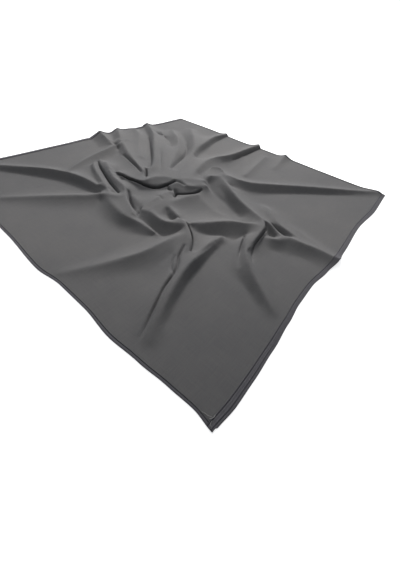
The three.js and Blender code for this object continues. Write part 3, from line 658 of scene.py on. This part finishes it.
def mesh_object(name, points, faces, material, places, sharp=()):
    """A mesh with its places in the flat cloth. Edges between two points of sharp are sharp."""
    mesh = bpy.data.meshes.new(name)
    mesh.from_pydata((np.asarray(points) * MM).tolist(), [], faces)
    layer = mesh.uv_layers.new(name="cloth")
    corners = np.zeros(len(mesh.loops), int)
    mesh.loops.foreach_get("vertex_index", corners)
    layer.data.foreach_set("uv", (np.asarray(places)[corners] * MM).ravel())
    mesh.polygons.foreach_set("use_smooth", [True] * len(mesh.polygons))
    ends = np.zeros(2 * len(mesh.edges), int)
    mesh.edges.foreach_get("vertices", ends)
    on_rim = np.isin(ends.reshape(-1, 2), list(sharp)).all(axis=1)
    mesh.attributes.new("sharp_edge", "BOOLEAN", "EDGE").data.foreach_set("value", on_rim)
    mesh.materials.append(material)
    mesh.update()
    piece = bpy.data.objects.new(name, mesh)
    bpy.context.collection.objects.link(piece)
    return piece


def grid_faces(rows, columns, start=0, flip=False):
    faces = []
    for i in range(rows - 1):
        for j in range(columns - 1):
            a = start + i * columns + j
            face = (a, a + columns, a + columns + 1, a + 1)
            faces.append(face[::-1] if flip else face)
    return faces


def rim_faces(rim, top):
    """Faces between the underside's rim and the same rim of the top, which starts at top."""
    after = rim[1:] + rim[:1]
    return [(a, b, top + b, top + a) for a, b in zip(rim, after)]


def bend_of_cells(s, t):
    """How much the cloth bends in each of the smallest cells."""
    fine = STEP / 2
    bend = np.zeros((FINE_POINTS, FINE_POINTS))
    for axis in (0, 1):
        for other in (0, 1):
            second = np.gradient(np.gradient(PLACES, fine, axis=axis), fine, axis=other)
            bend = np.maximum(bend, np.linalg.norm(second, axis=2))
    u, v = np.meshgrid((s[1:] + s[:-1]) / 2, (t[1:] + t[:-1]) / 2, indexing="ij")
    return grid_value(bend, u.ravel(), v.ravel()).reshape(u.shape)


def panel_cells(s, t):
    """Cells of the panel, smaller where the cloth bends more: place of the first corner and size."""
    bend = bend_of_cells(s, t)
    count = len(s) - 1
    smallest = (s[-1] - s[0]) / count
    cells = []
    open_cells = np.ones((BASE_CELLS, BASE_CELLS), bool)
    for level in range(SPLITS, -1, -1):
        size = 2 ** level
        blocks = bend.reshape(count // size, size, count // size, size).max(axis=(1, 3))
        stand_off = blocks * (size * smallest) ** 2 / 8
        split = open_cells & (stand_off > BEND_LIMIT) if level else np.zeros_like(open_cells)
        for i, j in np.argwhere(open_cells & ~split):
            cells.append((int(i) * size, int(j) * size, size))
        open_cells = split.repeat(2, axis=0).repeat(2, axis=1)
    return cells


def make_panel(material):
    count = BASE_CELLS * 2 ** SPLITS
    narrow = NARROW_HEM - PANEL_TUCK
    wide = WIDE_HEM - PANEL_TUCK
    s = np.linspace(narrow, LAID_SIDE - narrow, count + 1)
    t = np.linspace(wide, LAID_SIDE - wide, count + 1)
    cells = panel_cells(s, t)
    used = np.zeros((count + 1, count + 1), bool)
    for i, j, size in cells:
        for corner_i in (i, i + size):
            used[corner_i, j] = True
            used[corner_i, j + size] = True
    number = np.full((count + 1, count + 1), -1)
    number[used] = np.arange(used.sum())
    rounds = []
    for i, j, size in cells:
        line = [number[k, j] for k in range(i, i + size)]
        line += [number[i + size, k] for k in range(j, j + size)]
        line += [number[k, j + size] for k in range(i + size, i, -1)]
        line += [number[i, k] for k in range(j + size, j, -1)]
        rounds.append([int(k) for k in line if k >= 0])
    rim = [number[k, 0] for k in range(count)] + [number[count, k] for k in range(count)]
    rim += [number[k, count] for k in range(count, 0, -1)] + [number[0, k] for k in range(count, 0, -1)]
    rim = [int(k) for k in rim if k >= 0]
    i, j = np.nonzero(used)
    top = len(i)
    under = cloth_point(s[i], t[j], np.full(top, LIFT))
    over = cloth_point(s[i], t[j], np.full(top, LIFT + CLOTH_THICK))
    faces = [line[::-1] for line in rounds]
    faces += [[top + k for k in line] for line in rounds]
    faces += rim_faces(rim, top)
    places = np.stack([s[i], t[j]], axis=1)
    sharp = rim + [top + k for k in rim]
    return mesh_object("scarf_panel", np.concatenate([under, over]), faces, material,
                       np.concatenate([places, places]), sharp)


def uneven_wave(along, length, seed):
    """A wave of uneven length and height along a hem."""
    turn = 2 * math.pi * along / length
    return 0.5 * np.sin(turn + 1.3 * np.sin(turn * 0.31 + seed)) + 0.3 * np.sin(turn * 0.57 + 2 * seed)


def hem_height(side, along, across):
    """Height of a hem's top over the cloth's underside."""
    width = HEM_WIDTHS[side]
    inward = width - across
    height = LIFT + HEM_THICK * (EDGE_SHARE + (1 - EDGE_SHARE) * smooth(across / EDGE_ROUND))
    height -= (LIFT + HEM_THICK - BORDER_HEIGHT) * (1 - smooth(inward / BORDER_WIDTH))
    height += BORDER_RISE * np.exp(-((inward - BORDER_WIDTH / 2) / (BORDER_WIDTH / 2)) ** 2)
    height -= STITCH_PULL * np.exp(-((inward - STITCH_LINE) / STITCH_WIDTH) ** 2)
    seed = list(SIDES).index(side) + 1
    pucker = PUCKER * uneven_wave(along, PUCKER_LENGTH, seed)
    height += pucker * smooth(inward / PUCKER_FADE) * smooth(across / PUCKER_FADE)
    if side == "front_right":
        fade = 1 - smooth((along - SECOND_REACH[0]) / (SECOND_REACH[1] - SECOND_REACH[0]))
        from_ridge = across - SECOND_RIDGE
        height += SECOND_RISE * fade * np.exp(-(from_ridge / SECOND_WIDTH) ** 2)
        height -= SECOND_RISE * fade * np.exp(-((from_ridge + SECOND_GROOVE) / SECOND_WIDTH) ** 2)
    return height


def hem_start(side):
    """Where a hem starts along its side: the narrow ones run between the wide ones."""
    return 0 if HEM_WIDTHS[side] == WIDE_HEM else WIDE_HEM - PANEL_TUCK


def make_hem(side, material):
    width = HEM_WIDTHS[side]
    start = hem_start(side)
    rows = int(LAID_SIDE / HEM_STEP)
    columns = int(width / HEM_ROW) + 1
    along, inward = np.meshgrid(np.linspace(start, LAID_SIDE - start, rows),
                                np.linspace(0, width, columns), indexing="ij")
    along = along.ravel()
    across = width - inward.ravel()
    if side == "front_right":
        notch = NOTCH_DEPTH * (1 - smooth((along - NOTCH_LENGTH) / NOTCH_FADE))
        across = np.maximum(across, notch * (1 - across / width))
    s, t = place_on_side(side, along, across)
    under = cloth_point(s, t, np.full(len(s), LIFT))
    over = cloth_point(s, t, hem_height(side, along, across))
    rim = [i * columns for i in range(rows - 1)]
    rim += [(rows - 1) * columns + j for j in range(columns - 1)]
    rim += [i * columns + columns - 1 for i in range(rows - 1, 0, -1)]
    rim += list(range(columns - 1, 0, -1))
    faces = grid_faces(rows, columns, 0, flip=True) + grid_faces(rows, columns, rows * columns)
    faces += rim_faces(rim, rows * columns)
    places = np.stack([s, t], axis=1)
    return mesh_object(f"turned_hem_{side}", np.concatenate([under, over]), faces, material,
                       np.concatenate([places, places]))


def tube_faces(first, rings):
    """Faces of a closed thread whose points start at first, ring after ring."""
    faces = []
    for ring in range(rings - 1):
        for corner in range(THREAD_SIDES):
            a = first + ring * THREAD_SIDES + corner
            b = first + ring * THREAD_SIDES + (corner + 1) % THREAD_SIDES
            faces.append((a, b, b + THREAD_SIDES, a + THREAD_SIDES))
    last = first + (rings - 1) * THREAD_SIDES
    faces.append(tuple(range(first + THREAD_SIDES - 1, first - 1, -1)))
    faces.append(tuple(range(last, last + THREAD_SIDES)))
    return faces


def make_stitches(side, material):
    """The thread that shows along a hem: short rounded stitches in its groove."""
    width = HEM_WIDTHS[side]
    start = hem_start(side) + STITCH_MARGIN
    count = int((LAID_SIDE - 2 * start) / STITCH_PITCH)
    along = []
    aside = []
    lift = []
    faces = []
    for number in range(count):
        middle = start + STITCH_PITCH * (number + 0.5)
        faces += tube_faces(len(along), len(STITCH_PROFILE))
        for share, size in STITCH_PROFILE:
            for corner in range(THREAD_SIDES):
                turn = 2 * math.pi * corner / THREAD_SIDES
                along.append(middle + share * STITCH)
                aside.append(THREAD * size * math.cos(turn))
                lift.append(THREAD * size * math.sin(turn) + STITCH_ARCH * (size - 0.5))
    along = np.array(along)
    across = width - STITCH_LINE + np.array(aside)
    s, t = place_on_side(side, along, across)
    groove = hem_height(side, along, np.full(len(s), width - STITCH_LINE))
    points = cloth_point(s, t, groove + np.array(lift))
    return mesh_object(f"stitches_{side}", points, faces, material, np.stack([s, t], axis=1))


# Loose thread ends at the inner crossing of the two nearest hems.
# Each row is places s, t in the cloth with a height over it.
THREAD_ENDS = [
    [(12, 13, 1.6), (9, 17, 2.4), (8, 22, 1.8), (6, 26, 1.4)],
    [(7, 14, 1.6), (10, 12, 3), (14, 11, 2.2), (17, 12, 1.6)],
    [(9, 10, 1.6), (5, 9, 2.2), (3, 6, 1.9)],
]


def make_thread_ends(material):
    points = []
    places = []
    faces = []
    for row in THREAD_ENDS:
        line = smooth_curve(row, np.linspace(0, len(row) - 1, LOOSE_POINTS))
        centre = cloth_point(line[:, 0], line[:, 1], line[:, 2])
        heading = np.gradient(centre, axis=0)
        heading /= np.linalg.norm(heading, axis=1)[:, None]
        across = np.cross(heading, [0, 0, 1])
        across /= np.linalg.norm(across, axis=1)[:, None]
        over = np.cross(across, heading)
        faces += tube_faces(len(points), len(line))
        for number in range(len(line)):
            tip = number in (0, len(line) - 1)
            size = LOOSE_THREAD * THREAD * (LOOSE_TIP if tip else 1)
            for corner in range(THREAD_SIDES):
                turn = 2 * math.pi * corner / THREAD_SIDES
                way = math.cos(turn) * across[number] + math.sin(turn) * over[number]
                points.append(centre[number] + size * way)
                places.append(line[number, :2])
    return mesh_object("thread_ends", points, faces, material, places)


# Materials
CLOTH_COLOUR = (0.156, 0.156, 0.161)
CLOTH_WARM = (0.166, 0.161, 0.159)
HEM_COLOUR = (0.117, 0.115, 0.128)
HEM_WARM = (0.130, 0.126, 0.134)
THREAD_COLOUR = (0.105, 0.104, 0.116)
THREAD_WARM = (0.12, 0.118, 0.125)
END_COLOUR = (0.32, 0.316, 0.315)
END_WARM = (0.36, 0.352, 0.345)

SHADE_DEPTH = 0.24           # how far the noise makes the colour lighter or darker
ROUGH_RANGE = (0.8, 0.95)
SPECULAR = 0.1
CLOTH_SHEEN = 0.04
THREAD_SHEEN = 0.1
SHEEN_ROUGHNESS = 0.45
SHEEN_TINT = (0.86, 0.9, 1, 1)
BUMP_STRENGTH = 0.5
BUMP_DEPTH = 0.0002          # in metres

YARN = 0.0005                # distance between two yarns, in metres
YARN_RELIEF = 0.4
YARN_BEND = 0.6
BAND_LENGTH = 0.314          # length of one band of the wave texture at a scale of 1

# Each row is one kind of noise over the flat cloth.
# cells: cells a metre along the front right side and along the front left one
# shade, relief: how much it shows in the colour and in the bump
NOISES = [
    dict(name="grain", cells=(1500, 1500), detail=3, shade=0.5, relief=0.6),
    dict(name="pebbles", cells=(420, 420), detail=2, shade=0.5, relief=0.7),
    dict(name="warp streaks", cells=(900, 26), detail=2, shade=0.75, relief=0.5),
    dict(name="weft streaks", cells=(26, 900), detail=2, shade=0.9, relief=0.6),
    dict(name="patches", cells=(14, 14), detail=3, shade=0.6, relief=0),
    dict(name="areas", cells=(3, 3), detail=1, shade=0.9, relief=0),
]


def add_node(tree, kind, inputs=(), **settings):
    node = tree.nodes.new(kind)
    for name, value in settings.items():
        setattr(node, name, value)
    for name, value in inputs:
        if isinstance(value, bpy.types.NodeSocket):
            tree.links.new(value, node.inputs[name])
        else:
            node.inputs[name].default_value = value
    return node


def cloth_noise(tree, places, cells, detail):
    """Noise with its own number of cells a metre along each of the cloth's two directions."""
    mapping = add_node(tree, "ShaderNodeMapping", [("Vector", places), ("Scale", (*cells, 1))])
    noise = add_node(tree, "ShaderNodeTexNoise",
                     [("Vector", mapping.outputs[0]), ("Scale", 1), ("Detail", detail)])
    return noise.outputs[0]


def yarn_waves(tree, places, direction):
    wave = add_node(tree, "ShaderNodeTexWave",
                    [("Vector", places), ("Scale", BAND_LENGTH / YARN), ("Distortion", YARN_BEND),
                     ("Detail", 1), ("Detail Scale", 2)],
                    wave_type="BANDS", bands_direction=direction, wave_profile="SIN")
    return wave.outputs[0]


def calculated(tree, operation, *values, **settings):
    inputs = list(enumerate(values))
    return add_node(tree, "ShaderNodeMath", inputs, operation=operation, **settings).outputs[0]


def sum_of(tree, parts):
    """The sum of values, each with its own weight, about 0."""
    total = None
    for value, weight in parts:
        part = calculated(tree, "MULTIPLY", calculated(tree, "SUBTRACT", value, 0.5), weight)
        total = part if total is None else calculated(tree, "ADD", total, part)
    return total


def fabric_material(name, colour, warm, sheen):
    """Matte crepe: two sets of fine yarns, a pebbled grain and soft streaks of thicker yarn."""
    material = bpy.data.materials.new(name)
    material.use_nodes = True
    tree = material.node_tree
    shader = tree.nodes["Principled BSDF"]
    places = add_node(tree, "ShaderNodeUVMap", uv_map="cloth").outputs[0]

    noises = {row["name"]: cloth_noise(tree, places, row["cells"], row["detail"]) for row in NOISES}
    shade = sum_of(tree, [(noises[row["name"]], row["shade"]) for row in NOISES])
    reliefs = [(noises[row["name"]], row["relief"]) for row in NOISES if row["relief"]]
    reliefs += [(yarn_waves(tree, places, direction), YARN_RELIEF) for direction in ("X", "Y")]
    relief = sum_of(tree, reliefs)

    warmth = calculated(tree, "ADD", shade, 0.5, use_clamp=True)
    mix = add_node(tree, "ShaderNodeMix", [("Factor", warmth), (6, (*colour, 1)), (7, (*warm, 1))],
                   data_type="RGBA")
    value = calculated(tree, "MULTIPLY_ADD", shade, SHADE_DEPTH, 1)
    tint = add_node(tree, "ShaderNodeHueSaturation", [("Color", mix.outputs[2]), ("Value", value)])
    tree.links.new(tint.outputs[0], shader.inputs["Base Color"])

    rough = add_node(tree, "ShaderNodeMapRange",
                     [("Value", noises["pebbles"]), ("To Min", ROUGH_RANGE[0]), ("To Max", ROUGH_RANGE[1])])
    tree.links.new(rough.outputs[0], shader.inputs["Roughness"])

    bump = add_node(tree, "ShaderNodeBump",
                    [("Height", relief), ("Strength", BUMP_STRENGTH), ("Distance", BUMP_DEPTH)])
    tree.links.new(bump.outputs[0], shader.inputs["Normal"])

    shader.inputs["Specular IOR Level"].default_value = SPECULAR
    shader.inputs["Sheen Weight"].default_value = sheen
    shader.inputs["Sheen Roughness"].default_value = SHEEN_ROUGHNESS
    shader.inputs["Sheen Tint"].default_value = SHEEN_TINT
    return material


panel_cloth = fabric_material("crepe", CLOTH_COLOUR, CLOTH_WARM, CLOTH_SHEEN)
hem_cloth = fabric_material("turned_crepe", HEM_COLOUR, HEM_WARM, CLOTH_SHEEN)
sewing_thread = fabric_material("sewing_thread", THREAD_COLOUR, THREAD_WARM, THREAD_SHEEN)
loose_thread = fabric_material("loose_thread", END_COLOUR, END_WARM, THREAD_SHEEN)

panel = make_panel(panel_cloth)
hems = {side: make_hem(side, hem_cloth) for side in SIDES}
stitches = [make_stitches(side, sewing_thread) for side in SIDES]
thread_ends = make_thread_ends(loose_thread)

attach(panel, "root")
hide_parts("cloth_panel")
for side, hem in hems.items():
    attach(hem, "root")
    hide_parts(f"hem_{side}")
for piece in (*stitches, thread_ends):
    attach(piece, "root")

# Stage, in metres
FLOOR_REACH = 6
FLOOR_LEVEL = -0.0003
FLOOR_COLOUR = (0.9, 0.9, 0.9, 1)
FLOOR_ROUGHNESS = 0.9
FLOOR_SPECULAR = 0.1
FLOOR_GLOW = 0.75
FLAG_LEFT = -1.2
FLAG_RIGHT = 1.4
FLAG_DEPTH = 0.7
FLAG_BOTTOM = 0.705
FLAG_TOP = 1.7
WORLD_COLOUR = (0.9, 0.95, 1, 1)
WORLD_STRENGTH = 0.17

# Each row is one light that is a square of the given size and faces its target.
LIGHTS = [
    dict(name="key", place=(0.7, 3.5, 2.15), target=(0, 0, 0), size=0.9, power=160,
         colour=(1, 0.985, 0.965)),
    dict(name="overhead", place=(-0.02, 0.02, 0.75), target=(-0.02, 0.02, 0), size=0.45, power=1.5,
         colour=(1, 0.99, 0.98)),
]


def stage_object(name, points, faces):
    mesh = bpy.data.meshes.new(name)
    mesh.from_pydata(points, [], faces)
    piece = bpy.data.objects.new(name, mesh)
    bpy.context.collection.objects.link(piece)
    return piece


def make_floor():
    """A pale floor, with a wall of the same at its far edge."""
    far = FLOOR_REACH
    level = FLOOR_LEVEL
    points = [(-far, -far, level), (far, -far, level), (far, far, level), (-far, far, level),
              (-far, far, far), (far, far, far)]
    floor = stage_object("floor", points, [(0, 1, 2, 3), (3, 2, 5, 4)])
    material = bpy.data.materials.new("pale_floor")
    material.use_nodes = True
    shader = material.node_tree.nodes["Principled BSDF"]
    shader.inputs["Base Color"].default_value = FLOOR_COLOUR
    shader.inputs["Roughness"].default_value = FLOOR_ROUGHNESS
    shader.inputs["Specular IOR Level"].default_value = FLOOR_SPECULAR
    shader.inputs["Emission Color"].default_value = (1, 1, 1, 1)
    shader.inputs["Emission Strength"].default_value = FLOOR_GLOW
    floor.data.materials.append(material)
    return floor


def make_flag():
    """A studio flag: a card that keeps part of the key light off the nearest corner."""
    points = [(FLAG_LEFT, FLAG_DEPTH, FLAG_BOTTOM), (FLAG_RIGHT, FLAG_DEPTH, FLAG_BOTTOM),
              (FLAG_RIGHT, FLAG_DEPTH, FLAG_TOP), (FLAG_LEFT, FLAG_DEPTH, FLAG_TOP)]
    flag = stage_object("flag", points, [(0, 1, 2, 3)])
    flag.visible_camera = False
    flag.visible_diffuse = False
    flag.visible_glossy = False


def make_light(row):
    data = bpy.data.lights.new(row["name"], "AREA")
    data.size = row["size"]
    data.energy = row["power"]
    data.color = row["colour"]
    light = bpy.data.objects.new(row["name"], data)
    light.location = row["place"]
    toward = Vector(row["target"]) - Vector(row["place"])
    light.rotation_euler = toward.to_track_quat("-Z", "Y").to_euler()
    bpy.context.collection.objects.link(light)


def make_world():
    world = bpy.data.worlds.new("studio")
    bpy.context.scene.world = world
    world.use_nodes = True
    background = world.node_tree.nodes["Background"]
    background.inputs["Color"].default_value = WORLD_COLOUR
    background.inputs["Strength"].default_value = WORLD_STRENGTH


floor = make_floor()
make_flag()
for row in LIGHTS:
    make_light(row)
make_world()
bpy.context.scene.view_settings.view_transform = "Standard"
